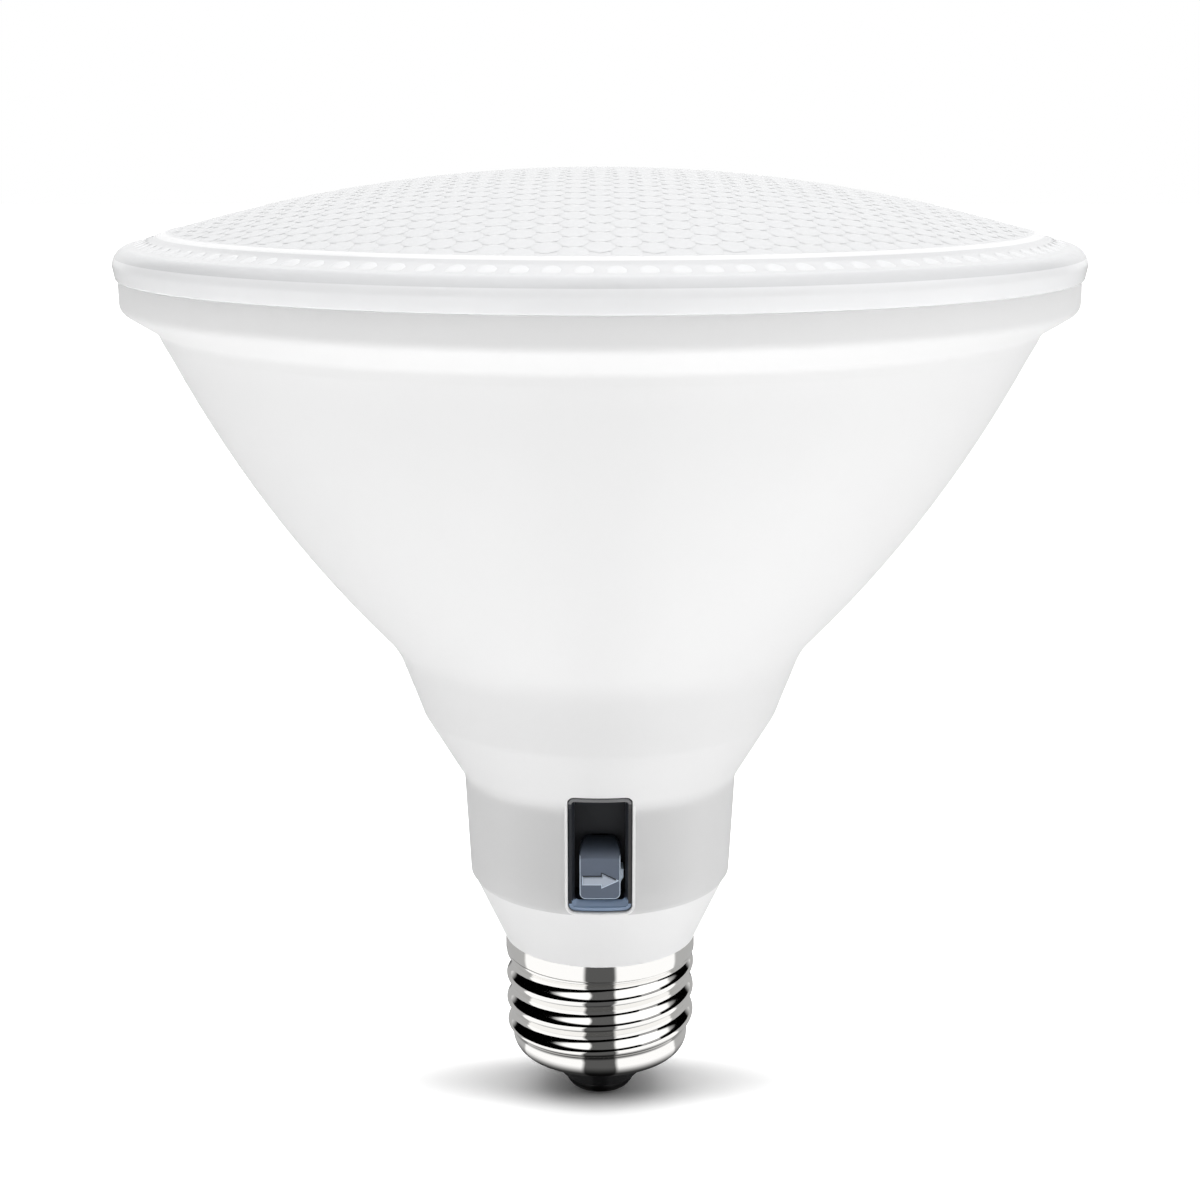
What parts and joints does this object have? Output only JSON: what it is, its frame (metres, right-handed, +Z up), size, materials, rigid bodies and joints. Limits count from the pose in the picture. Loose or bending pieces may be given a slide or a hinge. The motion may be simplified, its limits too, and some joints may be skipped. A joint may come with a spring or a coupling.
{
  "type": "par spotlight bulb",
  "caption": "Reflector-shaped flood and spot lamp: pebbled domed lens, white conical body with rim flange, slide switch in the neck and screw base.",
  "frame": {"origin": "on the lamp's axis at the underside of the tip contact", "axes": "+Z up the axis from the screw base to the lens; the switch faces -Y"},
  "size_m": [0.122, 0.122, 0.127],
  "materials": {
    "lens_white": "translucent white, pebbled",
    "body_white": "satin moulded white",
    "collar_white": "satin moulded white",
    "gasket_grey": "matt",
    "sink_aluminium": "pressed sheet",
    "pad_grey": "matt",
    "board_white": "white solder resist",
    "led_yellow": "phosphor",
    "screw_steel": "zinc plated",
    "socket_white": "moulded",
    "reflector_white": "white",
    "shell_nickel": "bright nickel plate",
    "insulator_black": "black",
    "contact_metal": "plated",
    "tub_charcoal": "moulded",
    "knob_slate": "moulded",
    "switch_black": "moulded",
    "wiper_brass": "sprung",
    "board_green": "solder resist",
    "ferrite": "sintered",
    "tape_yellow": "wound tape",
    "can_black": "sleeved",
    "film_red": "dipped",
    "copper": "enamelled wire",
    "fuse_green": "coated",
    "wire_red": "insulated wire",
    "wire_white": "insulated wire"
  },
  "bodies": {
    "lamp": {"lens": "lens_white", "lens_gasket": "gasket_grey", "neck": "body_white", "housing": "body_white", "heat_sink": "sink_aluminium", "thermal_pad": "pad_grey", "led_board": "board_white", "led_chips": "led_yellow", "led_board_screws": "screw_steel", "led_socket": "socket_white", "reflector": "reflector_white", "base_collar": "collar_white", "screw_shell": "shell_nickel", "base_insulator": "insulator_black", "centre_contact": "contact_metal", "switch_bezel": "tub_charcoal", "switch_body": "switch_black", "driver_board": "board_green", "transformer_core": "ferrite", "transformer_bobbin": "tape_yellow", "input_capacitor": "can_black", "output_capacitor": "can_black", "choke_core": "ferrite", "choke_coil": "copper", "film_capacitor": "film_red", "bridge_rectifier": "switch_black", "controller_chip": "switch_black", "fuse_resistor": "fuse_green", "live_lead": "wire_red", "neutral_lead": "wire_white", "led_leads": "wire_red"},
    "knob": {"switch_knob": "knob_slate", "switch_wiper": "wiper_brass"}
  },
  "joints": [
    {"name": "knob_slide", "type": "slide", "parent": "lamp", "child": "knob", "axis": [0, 0, 1], "range_m": [0, 0.0056]}
  ]
}
